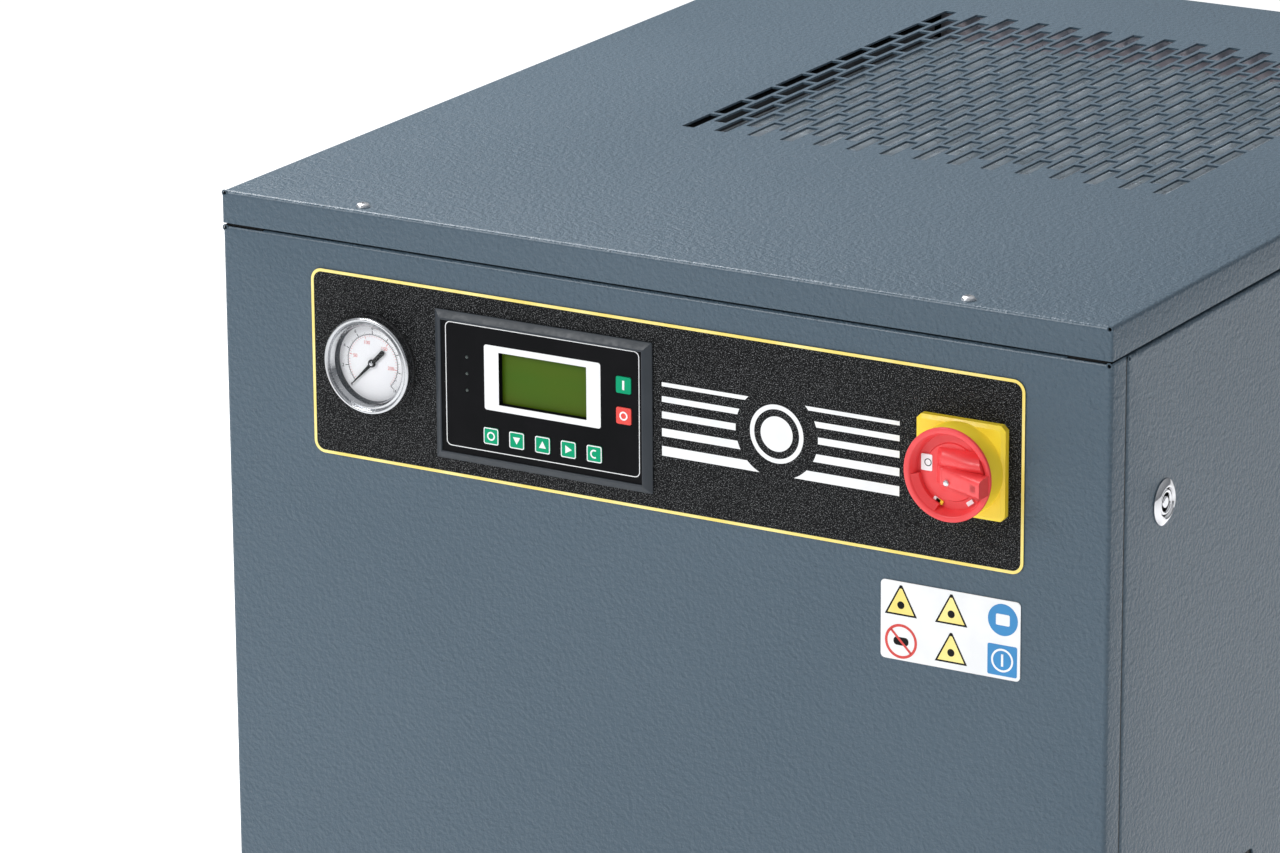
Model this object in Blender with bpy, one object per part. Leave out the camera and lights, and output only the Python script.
"""Refrigerated compressed-air dryer in a folded-sheet cabinet, built piece by piece.

Frame: metres, +Z up, front of the cabinet towards -Y, +X to the right of someone facing the front.
The origin is on the floor, under the middle of the machine's bounding box.
"""

import bmesh
import bpy
from math import cos, pi, radians, sin
from mathutils import Matrix, Vector

# ---------------------------------------------------------------- driving dimensions
WIDTH = 0.675
DEPTH = 0.820
HEIGHT = 0.950
SHEET = 0.0015          # folded sheet steel
GAP = 0.0003            # left between touching solids
SEAM = 0.002            # shut line between neighbouring panels
STICK_OUT = 0.040       # knob in front, pipe ports behind: equal, so the box stays centred

SKID_X = (0.245, 0.305)
BASE_TOP = 0.048
BASE_PLATE = 0.003
PANEL_BOTTOM = 0.050
SKIRT = 0.0228          # depth of the top cover's folded edge
PANEL_TOP = HEIGHT - SKIRT - 0.0015
RETURN = 0.0197         # depth of the panels' folded edges

HALF_W = WIDTH / 2
HALF_D = DEPTH / 2
FRONT = -HALF_D
REAR = HALF_D
DOOR_END = HALF_D - RETURN - SEAM

# control strip on the front panel: distances from the left edge and from the cover's top
STRIP_X = (0.0720, 0.6145)
STRIP_Z = (0.0440, 0.1743)
STRIP_THICK = 0.0005
ON_STRIP = FRONT - GAP - STRIP_THICK - GAP      # back plane of what stands on the strip

GAUGE_X, GAUGE_DROP = 0.1204, 0.1049
GAUGE_R = 0.0338
GAUGE_ZERO = -135               # pointer at rest, in degrees from straight up
CASE_R = 0.0310

CONTROLLER_X = (0.1717, 0.3402)
CONTROLLER_Z = (0.0585, 0.1626)
CONTROLLER_OUT = 0.0060
CONTROLLER_DEEP = 0.045
FACE_MARGIN = 0.0062
BODY_MARGIN = 0.0080
FACE_FRONT = FRONT - 0.0050
FACE_BACK = FRONT - 0.0025
POCKET_BACK = FACE_BACK + GAP
KEY = 0.0115
KEY_PROUD = 0.0006
KEY_THICK = 0.0018
KEY_ROW_X = (0.2169, 0.2370, 0.2572, 0.2773, 0.2974)
KEY_ROW_DROP = 0.1405
KEY_SIDE_X = 0.3202
KEY_SIDE_DROPS = (0.0895, 0.1107)
LCD_X = (0.2232, 0.2914)
LCD_Z = (0.0815, 0.1180)
LED_X = 0.1981
LED_DROPS = (0.0882, 0.0998, 0.1113)
LED_R = 0.0013
LED_STRIP = 0.003               # half width of the strip that carries the three lenses

SWITCH_X, SWITCH_DROP = 0.5712, 0.1069
SWITCH_PLATE = 0.0642
SWITCH_PLATE_THICK = 0.0064
COLLAR_R = 0.0300
COLLAR_TALL = 0.0125
KNOB_R = 0.0314
KNOB_RIM_Y = FRONT - 0.0250
SHAFT_R = 0.005

LABEL_X = (0.5110, 0.6129)
LABEL_Z = (0.1930, 0.2468)

# slotted grille in the top cover: distances from the left edge and from the front
GRILLE_X = (0.1856, 0.5636)
GRILLE_Y = (0.3017, 0.6973)
SLOT_WIDE = 0.0099
SLOT_LONG = 0.0402
SLOT_COLUMNS = 15
SLOT_ROWS = 9

# condenser and fan under the grille
CORE_LO = Vector((-0.151, -0.110, 0.874))
CORE_HI = Vector((0.238, 0.270, 0.934))
HEADER_R = 0.014
HEADER_OVERLAP = 0.004          # how far the core's tubes enter a header
HEADER_Z = (CORE_LO.z + CORE_HI.z) / 2
HEADER_Y = (CORE_LO.y - HEADER_R + HEADER_OVERLAP, CORE_HI.y + HEADER_R - HEADER_OVERLAP)
HEADER_LEFT = CORE_LO.x + HEADER_OVERLAP
FAN_X = (CORE_LO.x + CORE_HI.x) / 2
FAN_Y = (CORE_LO.y + CORE_HI.y) / 2
DUCT_LOW = CORE_LO.z - 0.050
FAN_DUCT_R = 0.150
FAN_R = 0.144
HUB_R = 0.045
HUB_Z = (DUCT_LOW + 0.006, DUCT_LOW + 0.031)
BLADES = 5

# doors: hinge pins near the rear edges, cam locks near the front edges
HINGE_X = HALF_W - 0.0063
HINGE_Y = DOOR_END - 0.0150
HINGE_HEIGHTS = (0.150, 0.800)
PIN_R = 0.0025
KNUCKLE_R = 0.0045
KNUCKLE_LONG = 0.020
LOCK_Y = FRONT + 0.078
LOCK_HEIGHT = HEIGHT - 0.137
SOCKET_R = (0.0042, 0.0054)     # pin and groove of the key's ring-shaped socket
LOCK_RING_R = 0.0155
BARREL_R = 0.0085
CAM_LONG = 0.045
CAM_THICK = 0.003
POST_LEG_X = 0.306
POST_THICK = 0.0025
POST_DEEP = 0.046
VENT_Y = (0.086, 0.226)
VENT_Z = (0.266, 0.526)
VENT_SLOTS = 13

RAIL_BOTTOM = PANEL_TOP + 0.0008
RAIL_TOP = HEIGHT - SHEET - GAP
RAIL_WIDE = 0.022
COVER_SCREW_X = 0.2297
COVER_SCREW_Y = FRONT + 0.0105

PORT_HEIGHTS = {"inlet": 0.600, "outlet": 0.700}
PORT_X = {"inlet": 0.100, "outlet": 0.200}
PIPE_R = 0.017
PORT_R = 0.027
PORT_BORE_R = 0.016
PORT_BORE_DEEP = 0.025

COMPRESSOR_AT = (-0.160, -0.200)
EXCHANGER_LO = Vector((0.040, 0.100, BASE_TOP + GAP))
EXCHANGER_HI = Vector((0.270, 0.320, 0.500))
SEPARATOR_AT = (-0.050, 0.220)
SEPARATOR_LOW, SEPARATOR_R = 0.170, 0.048
DRAIN_HEIGHT = 0.120            # outlet of the condensate drain
DRAIN_OUTLET_R = 0.006
LEVER_HEIGHT = 0.130
DRIER_AT = (-0.250, 0.050)
DRIER_Z = (0.440, 0.570)
COMPRESSOR_LOW = BASE_TOP + 0.024
COMPRESSOR_TALL = 0.262
COMPRESSOR_R = 0.095
GLAND_AT = (-0.250, 0.850)      # x and height of the mains cable gland
GLAND_BORE = 0.0045
BOX_LO = Vector((0.060, -0.330, 0.420))
BOX_HI = Vector((0.280, -0.250, 0.720))

# air outlet slots in the rear panel
REAR_SLOT = (0.060, 0.010)
REAR_SLOT_FIRST = (-0.255, 0.300)
REAR_SLOT_PITCH = (0.075, 0.024)
REAR_SLOT_COUNT = (3, 7)

# ---------------------------------------------------------------- materials
PAINTS = {
    "grey_paint": ((0.085, 0.105, 0.125), 0.55, 0.1),
    "frame_paint": ((0.030, 0.033, 0.036), 0.60, 0.1),
    "zinc": ((0.62, 0.63, 0.64), 0.35, 1.0),
    "chrome": ((0.80, 0.80, 0.82), 0.12, 1.0),
    "steel": ((0.55, 0.56, 0.58), 0.30, 1.0),
    "aluminium": ((0.70, 0.71, 0.72), 0.40, 1.0),
    "copper": ((0.80, 0.42, 0.26), 0.30, 1.0),
    "black_plastic": ((0.018, 0.019, 0.020), 0.45, 0.0),
    "strip_black": ((0.012, 0.012, 0.012), 0.60, 0.0),
    "label_white": ((0.85, 0.85, 0.85), 0.50, 0.0),
    "lcd_green": ((0.050, 0.090, 0.012), 0.20, 0.0),
    "key_green": ((0.010, 0.270, 0.140), 0.45, 0.0),
    "key_red": ((0.750, 0.080, 0.050), 0.45, 0.0),
    "led": ((0.030, 0.060, 0.040), 0.30, 0.0),
    "dial_white": ((0.86, 0.86, 0.84), 0.50, 0.0),
    "pointer_black": ((0.015, 0.015, 0.015), 0.50, 0.0),
    "glass": ((0.90, 0.92, 0.92), 0.05, 0.0),
    "switch_yellow": ((0.95, 0.66, 0.01), 0.40, 0.0),
    "switch_red": ((0.78, 0.05, 0.06), 0.40, 0.0),
    "rubber": ((0.020, 0.020, 0.020), 0.80, 0.0),
    "shell_black": ((0.014, 0.014, 0.015), 0.35, 0.2),
    "foam": ((0.045, 0.045, 0.047), 0.90, 0.0),
    "lever_paint": ((0.650, 0.040, 0.040), 0.40, 0.1),
    "box_plastic": ((0.550, 0.560, 0.570), 0.50, 0.0),
}


def material(slot):
    """One Principled material per slot, made once."""
    found = bpy.data.materials.get(slot)
    if found:
        return found
    made = bpy.data.materials.new(slot)
    made.use_nodes = True
    colour, roughness, metallic = PAINTS[slot]
    shader = made.node_tree.nodes["Principled BSDF"]
    shader.inputs["Base Color"].default_value = (*colour, 1.0)
    shader.inputs["Roughness"].default_value = roughness
    shader.inputs["Metallic"].default_value = metallic
    return made


# ---------------------------------------------------------------- modelling helpers
def finish(name, shape, slot, at=(0, 0, 0), parent=None, smooth=False):
    """Turns a bmesh into a named object; the mesh is given in world metres, the origin goes to 'at'."""
    bmesh.ops.recalc_face_normals(shape, faces=shape.faces)
    bmesh.ops.translate(shape, verts=shape.verts, vec=-Vector(at))
    mesh = bpy.data.meshes.new(name)
    shape.to_mesh(mesh)
    shape.free()
    if smooth:
        mesh.shade_smooth()
        mesh.set_sharp_from_angle(angle=radians(35))
    mesh.materials.append(material(slot))
    made = bpy.data.objects.new(name, mesh)
    bpy.context.scene.collection.objects.link(made)
    made.location = at
    if parent:
        made.parent = parent
        made.location = Vector(at) - parent.location
    return made


def pivot(name, at):
    """An empty on a joint's axis, for pieces that move together."""
    made = bpy.data.objects.new(name, None)
    made.location = at
    bpy.context.scene.collection.objects.link(made)
    return made


def add_box(shape, lo, hi):
    """Adds an axis-aligned box between two corners and returns its vertices."""
    lo, hi = Vector(lo), Vector(hi)
    place = Matrix.Translation((lo + hi) / 2) @ Matrix.Diagonal((*(hi - lo), 1.0))
    return bmesh.ops.create_cube(shape, size=1.0, matrix=place)["verts"]


def box(lo, hi, bevel=0.0, segments=2):
    """A box as its own bmesh, with all edges rounded when bevel is given."""
    shape = bmesh.new()
    add_box(shape, lo, hi)
    if bevel:
        bmesh.ops.bevel(
            shape, geom=shape.edges[:], offset=bevel, segments=segments, profile=0.5, affect="EDGES"
        )
    return shape


AXES = {
    "x": Matrix(((0, 0, 1, 0), (1, 0, 0, 0), (0, 1, 0, 0), (0, 0, 0, 1))),
    "y": Matrix(((1, 0, 0, 0), (0, 0, 1, 0), (0, -1, 0, 0), (0, 0, 0, 1))),
    "z": Matrix.Identity(4),
}


def turned(profile, centre, axis="z", sides=24, ring=False):
    """A solid of revolution; profile is (radius, height) along the axis, from 'centre'.

    With ring=True the profile is a closed loop clear of the axis, otherwise it starts and ends on it.
    """
    shape = bmesh.new()
    rows = []
    for radius, height in profile:
        if radius < 1e-7:
            rows.append([shape.verts.new((0, 0, height))])
            continue
        spokes = (2 * pi * k / sides for k in range(sides))
        rows.append([shape.verts.new((radius * cos(a), radius * sin(a), height)) for a in spokes])
    pairs = list(zip(rows, rows[1:]))
    if ring:
        pairs.append((rows[-1], rows[0]))
    for low, high in pairs:
        for k in range(sides):
            n = (k + 1) % sides
            corners = [low[k % len(low)], low[n % len(low)], high[n % len(high)], high[k % len(high)]]
            face = list(dict.fromkeys(corners))
            if len(face) > 2:
                shape.faces.new(face)
    bmesh.ops.transform(shape, matrix=Matrix.Translation(centre) @ AXES[axis], verts=shape.verts)
    return shape


def rod(radius, start, length, axis="z", sides=24):
    """A plain cylinder that starts at 'start' and runs along +axis."""
    return turned([(0, 0), (radius, 0), (radius, length), (0, length)], start, axis, sides)


def tube(inner, outer, start, length, axis="z", sides=24):
    """A plain hollow cylinder."""
    profile = [(inner, 0), (outer, 0), (outer, length), (inner, length)]
    return turned(profile, start, axis, sides, ring=True)


def merged(*shapes):
    """Puts several closed shapes into one bmesh, still as separate bodies."""
    whole = shapes[0]
    for other in shapes[1:]:
        mesh = bpy.data.meshes.new("part")
        other.to_mesh(mesh)
        other.free()
        whole.from_mesh(mesh)
        bpy.data.meshes.remove(mesh)
    return whole


def combine(base, tool, operation):
    """Exact Boolean of two shapes, as a new bmesh."""
    helpers = []
    for label, shape in (("base", base), ("tool", tool)):
        bmesh.ops.recalc_face_normals(shape, faces=shape.faces)
        mesh = bpy.data.meshes.new(label)
        shape.to_mesh(mesh)
        shape.free()
        helper = bpy.data.objects.new(label, mesh)
        bpy.context.scene.collection.objects.link(helper)
        helpers.append(helper)
    body, cutter = helpers
    cutter.display_type = "WIRE"
    cutter.hide_render = True
    step = body.modifiers.new("boolean", "BOOLEAN")
    step.operation = operation
    step.object = cutter
    step.solver = "EXACT"
    step.use_self = True
    evaluated = body.evaluated_get(bpy.context.evaluated_depsgraph_get())
    result = bmesh.new()
    result.from_mesh(evaluated.to_mesh())
    evaluated.to_mesh_clear()
    for helper in helpers:
        mesh = helper.data
        bpy.data.objects.remove(helper)
        bpy.data.meshes.remove(mesh)
    bmesh.ops.remove_doubles(result, verts=result.verts, dist=1e-6)
    bmesh.ops.dissolve_limit(
        result, angle_limit=radians(0.1), verts=result.verts, edges=result.edges, delimit={"NORMAL"}
    )
    return result


def cut(base, *tools):
    return combine(base, merged(*tools), "DIFFERENCE")


def join(base, *tools):
    for tool in tools:
        base = combine(base, tool, "UNION")
    return base


def pan(lo, hi, open_side):
    """A folded pan: a box of sheet steel whose side 'open_side' ('+x', '-y' ...) is missing."""
    lo, hi = Vector(lo), Vector(hi)
    inner_lo, inner_hi = lo + Vector((SHEET,) * 3), hi - Vector((SHEET,) * 3)
    index = "xyz".index(open_side[1])
    if open_side[0] == "+":
        inner_hi[index] = hi[index] + SHEET
    else:
        inner_lo[index] = lo[index] - SHEET
    return cut(box(lo, hi), box(inner_lo, inner_hi))


def rounded_plate(x_range, z_range, y_range, corner, segments=4):
    """A flat plate parallel to the front, with its four outline corners rounded."""
    shape = box((x_range[0], y_range[0], z_range[0]), (x_range[1], y_range[1], z_range[1]))
    upright = [e for e in shape.edges if abs(e.verts[0].co.y - e.verts[1].co.y) > 1e-5]
    bmesh.ops.bevel(shape, geom=upright, offset=corner, segments=segments, profile=0.5, affect="EDGES")
    return shape


def lofted(rows):
    """A closed skin over rings of equal point counts, capped at both ends."""
    shape = bmesh.new()
    rings = [[shape.verts.new(place) for place in row] for row in rows]
    sides = len(rings[0])
    for low, high in zip(rings, rings[1:]):
        for k in range(sides):
            n = (k + 1) % sides
            shape.faces.new((low[k], low[n], high[n], high[k]))
    shape.faces.new(rings[0])
    shape.faces.new(rings[-1])
    bmesh.ops.recalc_face_normals(shape, faces=shape.faces)
    return shape


def rounded_route(corners, radius, steps=4):
    """Points of a polyline whose inner corners are replaced by arcs."""
    corners = [Vector(c) for c in corners]
    points = [corners[0]]
    for before, here, after in zip(corners, corners[1:], corners[2:]):
        start = here + (before - here).normalized() * radius
        end = here + (after - here).normalized() * radius
        for k in range(steps + 1):
            t = k / steps
            points.append(start * (1 - t) ** 2 + here * 2 * t * (1 - t) + end * t ** 2)
    points.append(corners[-1])
    return points


def pipe(name, route, radius, slot):
    """A bent pipe: a curve with a round bevel and filled ends."""
    curve = bpy.data.curves.new(name, "CURVE")
    curve.dimensions = "3D"
    curve.bevel_depth = radius
    curve.bevel_resolution = 1
    curve.use_fill_caps = True
    spline = curve.splines.new("POLY")
    spline.points.add(len(route) - 1)
    for point, place in zip(spline.points, route):
        point.co = (*place, 1.0)
    curve.materials.append(material(slot))
    made = bpy.data.objects.new(name, curve)
    bpy.context.scene.collection.objects.link(made)
    return made


def across(distance_from_left):
    return distance_from_left - HALF_W


def below_top(drop):
    return HEIGHT - drop


# ---------------------------------------------------------------- base, frame
def build_base():
    """A steel plate welded on two skids, with a gap between them for a pallet truck."""
    frame = box((-HALF_W, FRONT, BASE_TOP - BASE_PLATE), (HALF_W, REAR, BASE_TOP))
    for side in (-1, 1):
        x = sorted((side * SKID_X[0], side * SKID_X[1]))
        skid = box((x[0], FRONT + 0.012, 0), (x[1], REAR - 0.012, BASE_TOP - 0.001))
        frame = join(frame, skid)
    finish("base_frame", frame, "frame_paint")


def post(side, end):
    """One corner angle: a leg behind the front or rear panel and a leg that the cam locks catch behind."""
    inner = side * POST_LEG_X
    outer = side * (HALF_W - 0.002)
    face = end * (HALF_D - 0.0020)
    low, top = BASE_TOP + GAP, RAIL_BOTTOM - GAP
    leg_y = sorted((face, face - end * POST_THICK))
    leg_x = sorted((inner, outer))
    web_x = sorted((inner, inner + side * POST_THICK))
    web_y = sorted((face, face - end * POST_DEEP))
    leg = box((leg_x[0], leg_y[0], low), (leg_x[1], leg_y[1], top))
    web = box((web_x[0], web_y[0], low), (web_x[1], web_y[1], top))
    return join(leg, web)


def build_frame():
    for side, across_name in ((-1, "left"), (1, "right")):
        for end, along_name in ((-1, "front"), (1, "rear")):
            finish(f"post_{along_name}_{across_name}", post(side, end), "frame_paint")
    reach = HALF_D - 0.002
    half = HALF_W - 0.002
    ring = box((-half, -reach, RAIL_BOTTOM), (half, reach, RAIL_TOP))
    inside = POST_LEG_X + POST_THICK - RAIL_WIDE
    front_bar = (CORE_LO.y - 0.028, CORE_LO.y - 0.012)
    rear_bar = (CORE_HI.y + 0.022, CORE_HI.y + 0.038)
    bays = (
        (-reach + RAIL_WIDE, front_bar[0]),
        (front_bar[1], rear_bar[0]),
        (rear_bar[1], reach - RAIL_WIDE),
    )
    holes = [
        box((-inside, low, RAIL_BOTTOM - 0.001), (inside, high, RAIL_TOP + 0.001)) for low, high in bays
    ]
    for side in (-1, 1):
        x = sorted((side * (POST_LEG_X + POST_THICK), side * (HALF_W + 0.001)))
        low, high = -reach + RAIL_WIDE, reach - RAIL_WIDE
        holes.append(box((x[0], low, RAIL_BOTTOM - 0.001), (x[1], high, RAIL_TOP + 0.001)))
    finish("top_frame", cut(ring, *holes), "frame_paint")


# ---------------------------------------------------------------- panels
def post_notches(end):
    """Notches in a front or rear panel's top and bottom edges, where the corner posts pass."""
    notches = []
    for side in (-1, 1):
        x = sorted((side * (POST_LEG_X - 0.001), side * (HALF_W - SHEET)))
        y = sorted((end * (HALF_D - SHEET), end * (HALF_D - RETURN - 0.001)))
        for z in (PANEL_BOTTOM + SHEET / 2, PANEL_TOP - SHEET / 2):
            notches.append(box((x[0], y[0], z - SHEET), (x[1], y[1], z + SHEET)))
    return notches


def build_front_panel():
    shell = pan((-HALF_W, FRONT, PANEL_BOTTOM), (HALF_W, FRONT + RETURN, PANEL_TOP), "+y")
    hole_y = FRONT - 0.001
    gauge_hole = rod(CASE_R + GAP, (across(GAUGE_X), hole_y, below_top(GAUGE_DROP)), 0.004, "y", 32)
    shaft_hole = rod(0.009, (across(SWITCH_X), hole_y, below_top(SWITCH_DROP)), 0.004, "y", 20)
    cuts = post_notches(-1) + [gauge_hole, shaft_hole, controller_cutout()]
    finish("front_panel", cut(shell, *cuts), "grey_paint")


def controller_cutout():
    margin = BODY_MARGIN - GAP
    return box(
        (across(CONTROLLER_X[0] + margin), FRONT - 0.002, below_top(CONTROLLER_Z[1] - margin)),
        (across(CONTROLLER_X[1] - margin), FRONT + 0.003, below_top(CONTROLLER_Z[0] + margin)),
    )


def grille_slots():
    """Brick pattern: full columns of nine slots, with columns of eight, half a pitch back, between them."""
    pitch_x = (GRILLE_X[1] - GRILLE_X[0] - SLOT_WIDE) / (SLOT_COLUMNS - 1)
    pitch_y = (GRILLE_Y[1] - GRILLE_Y[0] - SLOT_LONG) / (SLOT_ROWS - 1)
    slots = bmesh.new()
    for half_step in range(2 * SLOT_COLUMNS - 1):
        x = across(GRILLE_X[0] + half_step * pitch_x / 2)
        shifted = half_step % 2
        for row in range(SLOT_ROWS - shifted):
            y = FRONT + GRILLE_Y[0] + (row + shifted / 2) * pitch_y
            add_box(slots, (x, y, HEIGHT - 0.003), (x + SLOT_WIDE, y + SLOT_LONG, HEIGHT + 0.001))
    return slots


def build_top_cover():
    shell = pan((-HALF_W, FRONT, HEIGHT - SKIRT), (HALF_W, REAR, HEIGHT), "-z")
    finish("top_cover", cut(shell, grille_slots()), "grey_paint")
    profile = [(0, 0), (0.0048, 0), (0.0044, 0.0014), (0.0026, 0.0024), (0, 0.0026)]
    for side, name in ((-1, "left"), (1, "right")):
        at = (side * COVER_SCREW_X, COVER_SCREW_Y, HEIGHT + GAP)
        finish(f"cover_screw_{name}", turned(profile, at, sides=16), "zinc", at, smooth=True)


def build_rear_panel():
    shell = pan((-HALF_W, REAR - RETURN, PANEL_BOTTOM), (HALF_W, REAR, PANEL_TOP), "-y")
    holes = post_notches(1)
    for port in PORT_X:
        at = (PORT_X[port], REAR - 0.003, PORT_HEIGHTS[port])
        holes.append(rod(PORT_R + 0.001, at, 0.006, "y", 28))
    holes.append(rod(DRAIN_OUTLET_R + 0.0015, (SEPARATOR_AT[0], REAR - 0.003, DRAIN_HEIGHT), 0.006, "y", 16))
    holes.append(rod(0.0082, (GLAND_AT[0], REAR - 0.003, GLAND_AT[1]), 0.006, "y", 16))
    for column in range(REAR_SLOT_COUNT[0]):
        for row in range(REAR_SLOT_COUNT[1]):
            x = REAR_SLOT_FIRST[0] + column * REAR_SLOT_PITCH[0]
            z = REAR_SLOT_FIRST[1] + row * REAR_SLOT_PITCH[1]
            holes.append(box((x, REAR - 0.003, z), (x + REAR_SLOT[0], REAR + 0.002, z + REAR_SLOT[1])))
    finish("rear_panel", cut(shell, *holes), "grey_paint")
    nut = [(0.0125, 0.0), (0.0125, 0.006), (0.0105, 0.008), (0.0105, 0.016)]
    profile = [(GLAND_BORE, 0.0), *nut, (GLAND_BORE, 0.018)]
    collar = turned(profile, (GLAND_AT[0], REAR + GAP, GLAND_AT[1]), "y", 16, ring=True)
    sleeve = tube(GLAND_BORE, 0.0078, (GLAND_AT[0], REAR - 0.014, GLAND_AT[1]), 0.016, "y", 16)
    finish("cable_gland", join(collar, sleeve), "black_plastic", smooth=True)


def build_door(side, label):
    """One side door with its hinge knuckles; the matching pins stand on the rear post."""
    hinge = pivot(f"hinge_axis_{label}", (side * HINGE_X, HINGE_Y, HEIGHT / 2))
    x = sorted((side * HALF_W, side * (HALF_W - RETURN)))
    open_side = "-x" if side > 0 else "+x"
    shell = pan((x[0], -DOOR_END, PANEL_BOTTOM), (x[1], DOOR_END, PANEL_TOP), open_side)
    holes = []
    for height in HINGE_HEIGHTS:
        notch = sorted((side * (HALF_W - SHEET - 0.0002), side * (HALF_W - RETURN - 0.001)))
        low, high = height - 0.009, height + 0.003
        holes.append(box((notch[0], DOOR_END - 0.004, low), (notch[1], DOOR_END + 0.001, high)))
    holes.append(rod(0.0105, (side * HALF_W - 0.004, LOCK_Y, LOCK_HEIGHT), 0.008, "x", 24))
    if side > 0:
        holes.append(box(
            (HALF_W - 0.004, FRONT + VENT_Y[0], VENT_Z[0]),
            (HALF_W + 0.002, FRONT + VENT_Y[1], VENT_Z[1]),
        ))
    door = cut(shell, *holes)
    for height in HINGE_HEIGHTS:
        door = join(door, knuckle(side, height))
    finish(f"door_{label}", door, "grey_paint", hinge.location, hinge)
    finish(f"hinge_strip_{label}", hinge_strip(side), "zinc", smooth=True)
    build_lock(side, label, hinge)


def knuckle(side, height):
    """A tube that drops over a hinge pin, with a leaf welded to the inside of the door's skin."""
    barrel = tube(PIN_R + 0.00008, KNUCKLE_R, (side * HINGE_X, HINGE_Y, height), KNUCKLE_LONG, "z", 24)
    leaf_x = sorted((side * (HALF_W - SHEET / 2), side * (HINGE_X + PIN_R + 0.0008)))
    leaf = box((leaf_x[0], HINGE_Y - 0.030, height), (leaf_x[1], HINGE_Y - 0.0012, height + KNUCKLE_LONG))
    return join(barrel, leaf)


def hinge_strip(side):
    """The fixed half of the hinge: an upright strip on the rear post with two tongues and their pins."""
    near = POST_LEG_X + POST_THICK + GAP
    strip_x = sorted((side * near, side * (near + 0.0015)))
    strip = box(
        (strip_x[0], HINGE_Y - 0.008, HINGE_HEIGHTS[0] - 0.022),
        (strip_x[1], HINGE_Y + 0.014, HINGE_HEIGHTS[1] + 0.030),
    )
    for height in HINGE_HEIGHTS:
        low = height - 0.0033
        tongue_x = sorted((side * near, side * HINGE_X))
        tongue = box((tongue_x[0], HINGE_Y - 0.0040, low), (tongue_x[1], HINGE_Y + 0.0040, low + 0.003))
        eye = rod(0.0041, (side * HINGE_X, HINGE_Y, low), 0.003, "z", 24)
        pin = rod(PIN_R, (side * HINGE_X, HINGE_Y, low + 0.001), KNUCKLE_LONG + 0.006, "z", 24)
        strip = join(strip, tongue, eye, pin)
    return strip


def build_lock(side, label, hinge):
    """Quarter-turn lock: a flanged ring fixed in the door and a barrel with its cam that turns in it."""
    centre = Vector((side * HALF_W, LOCK_Y, LOCK_HEIGHT))
    ring_profile = [(0.0092, -0.016), (0.0101, -0.016), (0.0101, 0), (LOCK_RING_R, 0),
                    (LOCK_RING_R, 0.0008), (0.0110, 0.0027), (0.0092, 0.0027)]
    face = (side * (HALF_W + GAP), LOCK_Y, LOCK_HEIGHT)
    ring = turned([(r, side * h) for r, h in ring_profile], face, "x", 28, ring=True)
    finish(f"lock_ring_{label}", ring, "chrome", hinge.location, hinge, smooth=True)

    axis = pivot(f"lock_axis_{label}", centre)
    axis.parent = hinge
    axis.location = centre - hinge.location
    cam_face = POST_LEG_X - 0.0006
    end = HALF_W - cam_face
    profile = [(0, 0.0016), (SOCKET_R[0], 0.0016), (SOCKET_R[0], -0.0005), (SOCKET_R[1], -0.0005),
               (SOCKET_R[1], 0.0018), (BARREL_R, 0.0018), (BARREL_R, -end), (0, -end)]
    body = turned([(r, side * h) for r, h in profile], centre, "x", 20)
    cam_x = sorted((side * (cam_face + 0.0005), side * (cam_face - CAM_THICK)))
    cam_z = (LOCK_HEIGHT - CAM_LONG, LOCK_HEIGHT + 0.009)
    cam = box((cam_x[0], LOCK_Y - 0.008, cam_z[0]), (cam_x[1], LOCK_Y + 0.008, cam_z[1]))
    barrel = finish(f"lock_barrel_{label}", join(body, cam), "chrome", centre, smooth=True)
    barrel.parent = axis
    barrel.location = (0, 0, 0)


def build_vent_grille():
    """Black intake grille behind the opening in the right door."""
    margin = 0.008
    y_lo, y_hi = FRONT + VENT_Y[0] - margin, FRONT + VENT_Y[1] + margin
    z_lo, z_hi = VENT_Z[0] - margin, VENT_Z[1] + margin
    back = HALF_W - SHEET - GAP
    plate = box((back - 0.004, y_lo, z_lo), (back, y_hi, z_hi))
    slots = []
    step = (VENT_Z[1] - VENT_Z[0]) / VENT_SLOTS
    for k in range(VENT_SLOTS):
        z = VENT_Z[0] + k * step + 0.006
        slots.append(box((back - 0.006, y_lo + 0.014, z), (back + 0.002, y_hi - 0.014, z + step - 0.008)))
    door = bpy.data.objects["hinge_axis_right"]
    finish("intake_grille", cut(plate, *slots), "black_plastic", door.location, door)


# ---------------------------------------------------------------- front controls
def build_strip_and_label():
    strip = rounded_plate(
        (across(STRIP_X[0]), across(STRIP_X[1])), (below_top(STRIP_Z[1]), below_top(STRIP_Z[0])),
        (FRONT - GAP - STRIP_THICK, FRONT - GAP), 0.0085,
    )
    gauge_hole = rod(CASE_R + GAP, (across(GAUGE_X), FRONT - 0.002, below_top(GAUGE_DROP)), 0.004, "y", 32)
    shaft_hole = rod(0.009, (across(SWITCH_X), FRONT - 0.002, below_top(SWITCH_DROP)), 0.004, "y", 20)
    finish("control_strip", cut(strip, gauge_hole, shaft_hole, controller_cutout()), "strip_black")
    label = rounded_plate(
        (across(LABEL_X[0]), across(LABEL_X[1])), (below_top(LABEL_Z[1]), below_top(LABEL_Z[0])),
        (FRONT - GAP - 0.0004, FRONT - GAP), 0.003, 2,
    )
    finish("pictogram_label", label, "label_white")


def square_hole(x, drop, size):
    """A square hole through the controller's face."""
    half = size / 2
    return box(
        (across(x) - half, FACE_FRONT - 0.002, below_top(drop) - half),
        (across(x) + half, FACE_BACK + 0.002, below_top(drop) + half),
    )


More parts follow.
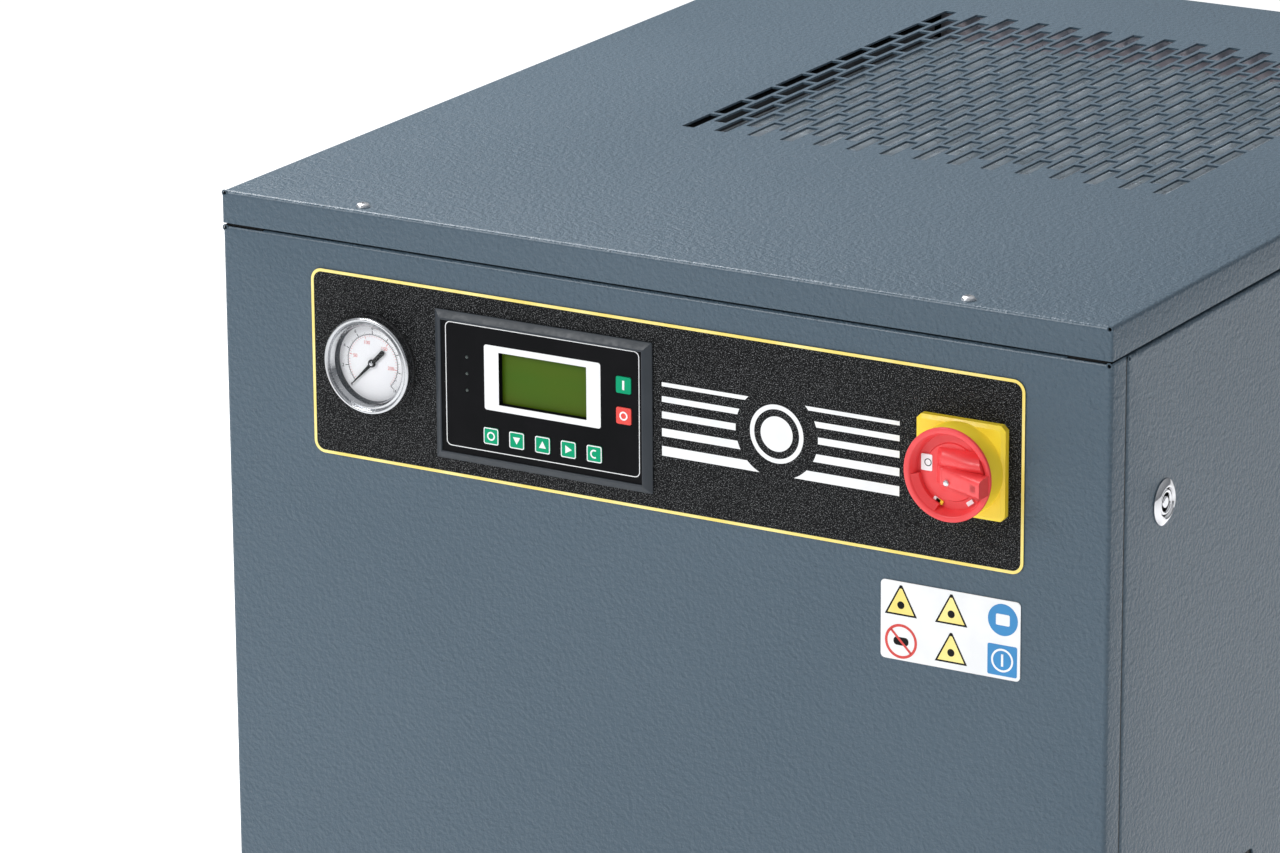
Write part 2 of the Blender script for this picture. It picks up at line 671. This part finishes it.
def build_controller():
    x0, x1 = across(CONTROLLER_X[0]), across(CONTROLLER_X[1])
    z0, z1 = below_top(CONTROLLER_Z[1]), below_top(CONTROLLER_Z[0])
    bezel = box((x0, FRONT - CONTROLLER_OUT, z0), (x1, ON_STRIP, z1))
    front_edges = [e for e in bezel.edges if all(v.co.y < FRONT - CONTROLLER_OUT + 1e-6 for v in e.verts)]
    bmesh.ops.bevel(bezel, geom=front_edges, offset=0.0030, segments=1, affect="EDGES")
    body = box(
        (x0 + BODY_MARGIN, ON_STRIP - 0.001, z0 + BODY_MARGIN),
        (x1 - BODY_MARGIN, FRONT + CONTROLLER_DEEP, z1 - BODY_MARGIN),
    )
    recess = box(
        (x0 + FACE_MARGIN, FRONT - 0.010, z0 + FACE_MARGIN),
        (x1 - FACE_MARGIN, POCKET_BACK, z1 - FACE_MARGIN),
    )
    finish("controller_housing", cut(join(bezel, body), recess), "black_plastic")

    edge = FACE_MARGIN + GAP
    face = box((x0 + edge, FACE_FRONT, z0 + edge), (x1 - edge, FACE_BACK, z1 - edge))
    opening = KEY + 2 * GAP
    holes = [square_hole(x, KEY_ROW_DROP, opening) for x in KEY_ROW_X]
    holes += [square_hole(KEY_SIDE_X, drop, opening) for drop in KEY_SIDE_DROPS]
    holes.append(box(
        (across(LCD_X[0]) - GAP, FACE_FRONT - 0.002, below_top(LCD_Z[1]) - GAP),
        (across(LCD_X[1]) + GAP, FACE_BACK + 0.002, below_top(LCD_Z[0]) + GAP),
    ))
    around = LED_STRIP + 2 * GAP - 0.0002
    holes.append(box(
        (across(LED_X) - around, FACE_BACK - 0.0014, below_top(LED_DROPS[-1]) - around),
        (across(LED_X) + around, FACE_BACK + 0.0010, below_top(LED_DROPS[0]) + around),
    ))
    for drop in LED_DROPS:
        at = (across(LED_X), FACE_FRONT - 0.001, below_top(drop))
        holes.append(rod(LED_R + 0.0002, at, 0.003, "y", 12))
    finish("controller_face", cut(face, *holes), "black_plastic")
    finish("lcd_window", box(
        (across(LCD_X[0]), FACE_FRONT + 0.0003, below_top(LCD_Z[1])),
        (across(LCD_X[1]), FACE_BACK - 0.0002, below_top(LCD_Z[0])),
    ), "lcd_green")

    strip = box(
        (across(LED_X) - LED_STRIP, FACE_BACK - 0.0010, below_top(LED_DROPS[-1]) - LED_STRIP),
        (across(LED_X) + LED_STRIP, FACE_BACK - 0.0001, below_top(LED_DROPS[0]) + LED_STRIP),
    )
    lens_front = FACE_FRONT - 0.0003
    lens_long = FACE_BACK - 0.0008 - lens_front
    places = [(across(LED_X), lens_front, below_top(drop)) for drop in LED_DROPS]
    lenses = [rod(LED_R, at, lens_long, "y", 12) for at in places]
    finish("status_leds", join(strip, *lenses), "led", smooth=True)

    names = ("function", "down", "up", "enter", "reset")
    for name, x in zip(names, KEY_ROW_X):
        build_key(f"key_{name}", x, KEY_ROW_DROP, "key_green")
    build_key("key_start", KEY_SIDE_X, KEY_SIDE_DROPS[0], "key_green")
    build_key("key_stop", KEY_SIDE_X, KEY_SIDE_DROPS[1], "key_red")


def build_key(name, x, drop, slot):
    """A key cap that stands proud of the face and can be pushed half a millimetre into it."""
    centre = Vector((across(x), FACE_FRONT - KEY_PROUD, below_top(drop)))
    half = KEY / 2
    cap = rounded_plate(
        (centre.x - half, centre.x + half), (centre.z - half, centre.z + half),
        (centre.y, centre.y + KEY_THICK), 0.0012, 2,
    )
    finish(name, cap, slot, centre)


def build_gauge():
    centre = (across(GAUGE_X), FRONT, below_top(GAUGE_DROP))
    inside = CASE_R - 0.0018
    outer = [(0, 0.030), (CASE_R - 0.004, 0.030), (CASE_R, 0.026), (CASE_R, -0.0036)]
    cup = turned([*outer, (inside, -0.0036), (inside, 0.0200), (0, 0.0200)], centre, "y", 32)
    stem = rod(0.007, (centre[0], FRONT + 0.0295, centre[2]), 0.018, "y", 6)
    finish("gauge_case", join(cup, stem), "steel", smooth=True)
    back_edge = [(CASE_R + GAP, ON_STRIP - FRONT), (GAUGE_R, ON_STRIP - FRONT), (GAUGE_R, -0.0070)]
    lip = [(GAUGE_R - 0.0013, -0.0093), (0.0300, -0.0097), (0.0286, -0.0080), (0.0286, -0.0060)]
    profile = [*back_edge, *lip, (CASE_R + GAP, -0.0060)]
    finish("gauge_bezel", turned(profile, centre, "y", 40, ring=True), "steel", smooth=True)
    pane = rod(CASE_R - 0.0001, (centre[0], FRONT - 0.0057, centre[2]), 0.0018, "y", 32)
    finish("gauge_glass", pane, "glass", smooth=True)
    dial = rod(CASE_R - 0.0022, (centre[0], FRONT + 0.0010, centre[2]), 0.0008, "y", 32)
    finish("gauge_dial", dial, "dial_white", smooth=True)
    hub = rod(0.0030, (centre[0], FRONT - 0.0018, centre[2]), 0.0024, "y", 16)
    wide, tip, tail = 0.0009, 0.0003, 0.0090
    right = [(wide, -tail), (wide, 0.0), (tip, 0.0215)]
    outline = right + [(-x, z) for x, z in reversed(right)]
    needle = lofted([[(x, y, z) for x, z in outline] for y in (-0.0012, -0.0004)])
    turn = Matrix.Rotation(radians(GAUGE_ZERO), 4, "Y")
    bmesh.ops.transform(needle, matrix=Matrix.Translation(centre) @ turn, verts=needle.verts)
    finish("gauge_pointer", join(hub, needle), "pointer_black", centre)


def build_switch():
    x, z = across(SWITCH_X), below_top(SWITCH_DROP)
    half = SWITCH_PLATE / 2
    plate_front = ON_STRIP - SWITCH_PLATE_THICK
    plate = rounded_plate((x - half, x + half), (z - half, z + half), (plate_front, ON_STRIP), 0.004, 3)
    collar_front = plate_front - COLLAR_TALL
    collar = rod(COLLAR_R, (x, collar_front, z), COLLAR_TALL + 0.001, "y", 32)
    through = COLLAR_TALL + SWITCH_PLATE_THICK + 0.004
    bore = rod(SHAFT_R + 0.001, (x, collar_front - 0.002, z), through, "y", 20)
    finish("switch_plate", cut(join(plate, collar), bore), "switch_yellow")

    knob_back = collar_front - GAP
    rim = KNOB_RIM_Y - FRONT
    back = knob_back - FRONT
    side = [(0, back), (KNOB_R - 0.001, back), (KNOB_R, back - 0.002), (KNOB_R, rim + 0.0015)]
    bowl = [(KNOB_R - 0.0015, rim), (KNOB_R - 0.0035, rim), (KNOB_R - 0.0045, rim + 0.004), (0, rim + 0.004)]
    disc = turned(side + bowl, (x, FRONT, z), "y", 36)
    grip = box(
        (x - 0.0070, FRONT - STICK_OUT, z - 0.0085),
        (x + KNOB_R - 0.0008, KNOB_RIM_Y + 0.005, z + 0.0085),
        0.003, 2,
    )
    bar_edge = rod(KNOB_R - 0.0006, (x, FRONT - STICK_OUT - 0.001, z), 0.030, "y", 36)
    grip = combine(grip, bar_edge, "INTERSECT")
    shaft = rod(SHAFT_R, (x, knob_back - 0.001, z), COLLAR_TALL + 0.022, "y", 20)
    finish("switch_knob", join(disc, grip, shaft), "switch_red", (x, FRONT, z), smooth=True)

    block = box((x - 0.024, FRONT + SHEET + GAP, z - 0.024), (x + 0.024, FRONT + 0.060, z + 0.024), 0.002, 1)
    socket = rod(SHAFT_R + 0.001, (x, FRONT - 0.002, z), 0.020, "y", 20)
    finish("switch_body", cut(block, socket), "black_plastic")


# ---------------------------------------------------------------- works inside
def build_condenser():
    """A brazed condenser: a block of fins and flat tubes between two round headers."""
    block = box(CORE_LO, CORE_HI)
    length = CORE_HI.x - HEADER_OVERLAP - HEADER_LEFT
    headers = [rod(HEADER_R, (HEADER_LEFT, y, HEADER_Z), length, "x", 20) for y in HEADER_Y]
    finish("condenser", join(block, *headers), "aluminium", smooth=True)


def fan_blade():
    """One twisted, swept blade along +X, made of sections whose points lie on circles round the shaft."""
    stations, half_thick = 3, 0.0010
    root = HUB_R - 0.003
    middle = sum(HUB_Z) / 2
    rows = []
    for s in range(stations + 1):
        t = s / stations
        radius = root + t * (FAN_R - root)
        pitch = radians(34 - 16 * t)
        chord = 0.030 + 0.020 * t
        sweep = 0.012 * t * t
        row = []
        for along, up in ((-1, 1), (1, 1), (1, -1), (-1, -1)):
            turn = (along * chord * cos(pitch) + sweep) / radius
            height = along * chord * sin(pitch) * 0.38 + up * half_thick
            row.append((radius * cos(turn), radius * sin(turn), middle + height))
        rows.append(row)
    return lofted(rows)


def build_fan():
    plate_top = CORE_LO.z - GAP
    plate = box((CORE_LO.x, CORE_LO.y, plate_top - 0.003), (CORE_HI.x, CORE_HI.y, plate_top))
    ring = rod(FAN_DUCT_R + 0.003, (FAN_X, FAN_Y, DUCT_LOW), plate_top - 0.0015 - DUCT_LOW, "z", 36)
    duct = rod(FAN_DUCT_R, (FAN_X, FAN_Y, DUCT_LOW - 0.010), 0.080, "z", 36)
    finish("fan_shroud", cut(join(plate, ring), duct), "frame_paint", smooth=True)

    parts = [rod(HUB_R, (FAN_X, FAN_Y, HUB_Z[0]), HUB_Z[1] - HUB_Z[0], "z", 24)]
    for k in range(BLADES):
        blade = fan_blade()
        place = Matrix.Translation((FAN_X, FAN_Y, 0)) @ Matrix.Rotation(2 * pi * k / BLADES, 4, "Z")
        bmesh.ops.transform(blade, matrix=place, verts=blade.verts)
        parts.append(blade)
    finish("fan_rotor", join(*parts), "black_plastic", (FAN_X, FAN_Y, HUB_Z[0]), smooth=True)

    can = [(0, -0.065), (0.030, -0.065), (0.040, -0.058), (0.040, -0.005), (0.030, 0)]
    shaft = [(0.006, 0), (0.006, 0.0055), (0, 0.0055)]
    motor = turned(can + shaft, (FAN_X, FAN_Y, DUCT_LOW), "z", 24)
    bar_low = DUCT_LOW - 0.040
    bar = box(
        (CORE_LO.x + 0.001, FAN_Y - 0.015, bar_low), (CORE_HI.x - 0.001, FAN_Y + 0.015, bar_low + 0.003)
    )
    legs = [
        box((x, FAN_Y - 0.015, bar_low + 0.0015), (x + 0.003, FAN_Y + 0.015, plate_top - 0.003 - GAP))
        for x in (CORE_LO.x + 0.001, CORE_HI.x - 0.004)
    ]
    finish("fan_motor", join(motor, bar, *legs), "shell_black", smooth=True)


def build_refrigerant_compressor():
    x, y = COMPRESSOR_AT
    low = COMPRESSOR_LOW
    lower = [(0, 0), (0.080, 0.004), (COMPRESSOR_R, 0.030), (COMPRESSOR_R, 0.150)]
    seam = [(0.099, 0.152), (0.099, 0.158)]
    upper = [(0.092, 0.160), (0.088, 0.215), (0.060, 0.250), (0, COMPRESSOR_TALL)]
    dome = turned(lower + seam + upper, (x, y, low), "z", 28)
    plate = box((x - 0.105, y - 0.080, low - 0.001), (x + 0.105, y + 0.080, low + 0.006))
    terminal = box((x - 0.030, y - 0.122, low + 0.080), (x + 0.030, y - 0.080, low + 0.140), 0.003, 1)
    finish("refrigerant_compressor", join(dome, plate, terminal), "shell_black", smooth=True)
    pad = box((x - 0.100, y - 0.075, BASE_TOP + GAP), (x + 0.100, y + 0.075, low - 0.001 - GAP), 0.003, 1)
    finish("compressor_pad", pad, "rubber")


def build_air_side():
    finish("heat_exchanger", box(EXCHANGER_LO, EXCHANGER_HI, 0.012, 2), "foam", smooth=True)
    x, y = SEPARATOR_AT
    foot = [(0, 0), (0.018, 0), (0.022, 0.015), (SEPARATOR_R, 0.045)]
    head = [(SEPARATOR_R, 0.235), (0.030, 0.258), (0, 0.262)]
    vessel = turned(foot + head, (x, y, SEPARATOR_LOW), "z", 24)
    neck = rod(0.015, (x + 0.040, y, 0.370), EXCHANGER_LO.x - GAP - (x + 0.040), "x", 16)
    finish("moisture_separator", join(vessel, neck), "aluminium", smooth=True)

    block = box((x - 0.022, y - 0.022, 0.098), (x + 0.022, y + 0.022, 0.158), 0.003, 1)
    inlet_low = 0.150
    inlet = rod(0.010, (x, y, inlet_low), SEPARATOR_LOW - GAP - inlet_low, "z", 12)
    outlet_start = y + 0.015
    outlet = rod(DRAIN_OUTLET_R, (x, outlet_start, DRAIN_HEIGHT), REAR + 0.020 - outlet_start, "y", 12)
    spindle = rod(0.005, (x - 0.030, y, LEVER_HEIGHT), 0.012, "x", 12)
    finish("drain_valve", join(block, inlet, outlet, spindle), "steel", smooth=True)
    lever_hi = x - 0.030 - GAP
    lever = box((lever_hi - 0.003, y - 0.008, 0.122), (lever_hi, y + 0.008, 0.185), 0.001, 1)
    finish("drain_lever", lever, "lever_paint", (lever_hi, y, LEVER_HEIGHT))

    for port in PORT_X:
        px, pz = PORT_X[port], PORT_HEIGHTS[port]
        mid_y = (EXCHANGER_LO.y + EXCHANGER_HI.y) / 2
        corners = [(px, mid_y, EXCHANGER_HI.z + GAP), (px, mid_y, pz), (px, REAR - 0.006, pz)]
        elbow = air_pipe(rounded_route(corners, 0.050, 5))
        port_end = rod(PORT_R, (px, REAR - 0.008, pz), STICK_OUT + 0.008, "y", 6)
        bore_at = (px, REAR + STICK_OUT - PORT_BORE_DEEP, pz)
        bore = rod(PORT_BORE_R, bore_at, PORT_BORE_DEEP + 0.005, "y", 24)
        finish(f"air_{port}_pipe", cut(join(elbow, port_end), bore), "steel", smooth=True)


def air_pipe(route):
    """A solid elbow whose route lies in a plane of constant x."""
    sides = 16
    sideways = Vector((1, 0, 0))
    rows = []
    for k, place in enumerate(route):
        before, after = route[max(k - 1, 0)], route[min(k + 1, len(route) - 1)]
        outward = (after - before).normalized().cross(sideways).normalized()
        spokes = (2 * pi * q / sides for q in range(sides))
        rows.append([place + PIPE_R * (sideways * cos(t) + outward * sin(t)) for t in spokes])
    return lofted(rows)


def build_refrigerant_circuit():
    x, y = DRIER_AT
    low, high = DRIER_Z
    bottom = [(0, low), (0.004, low), (0.006, low + 0.010), (0.019, low + 0.022)]
    top = [(0.019, high - 0.022), (0.006, high - 0.010), (0.004, high), (0, high)]
    finish("filter_drier", turned(bottom + top, (x, y, 0), "z", 16), "copper", smooth=True)

    cx, cy = COMPRESSOR_AT
    dome_top = COMPRESSOR_LOW + COMPRESSOR_TALL + GAP
    header_end = HEADER_LEFT - GAP
    front_header, rear_header = HEADER_Y
    riser_x = -0.235
    middle, suction_z = (-0.150, 0.140, 0.330), 0.150
    exchanger_left = EXCHANGER_LO.x - GAP
    routes = {
        "discharge_pipe": [(cx, cy, dome_top), (cx, cy, 0.430), (riser_x, -0.150, 0.500),
                           (riser_x, front_header, HEADER_Z), (header_end, front_header, HEADER_Z)],
        "liquid_pipe": [(header_end, rear_header, HEADER_Z), (x, rear_header, HEADER_Z),
                        (x, y, 0.700), (x, y, high + GAP)],
        "capillary_pipe": [(x, y, low - GAP), (x, y, 0.360), middle, (exchanger_left, *middle[1:])],
        "suction_pipe": [(exchanger_left, 0.130, suction_z), (-0.120, 0.130, suction_z), (cx, 0.000, 0.200),
                         (cx, cy + COMPRESSOR_R + GAP, 0.200)],
    }
    for name, route in routes.items():
        radius = 0.003 if name == "capillary_pipe" else 0.005
        pipe(name, rounded_route(route, 0.030, 4), radius, "copper")


def build_electrics():
    finish("electrical_box", box(BOX_LO, BOX_HI, 0.003, 1), "grey_paint")


def main():
    for old in list(bpy.data.objects):
        bpy.data.objects.remove(old)
    build_base()
    build_frame()
    build_front_panel()
    build_top_cover()
    build_rear_panel()
    build_door(1, "right")
    build_door(-1, "left")
    build_vent_grille()
    build_strip_and_label()
    build_controller()
    build_gauge()
    build_switch()
    build_condenser()
    build_fan()
    build_refrigerant_compressor()
    build_air_side()
    build_refrigerant_circuit()
    build_electrics()


main()
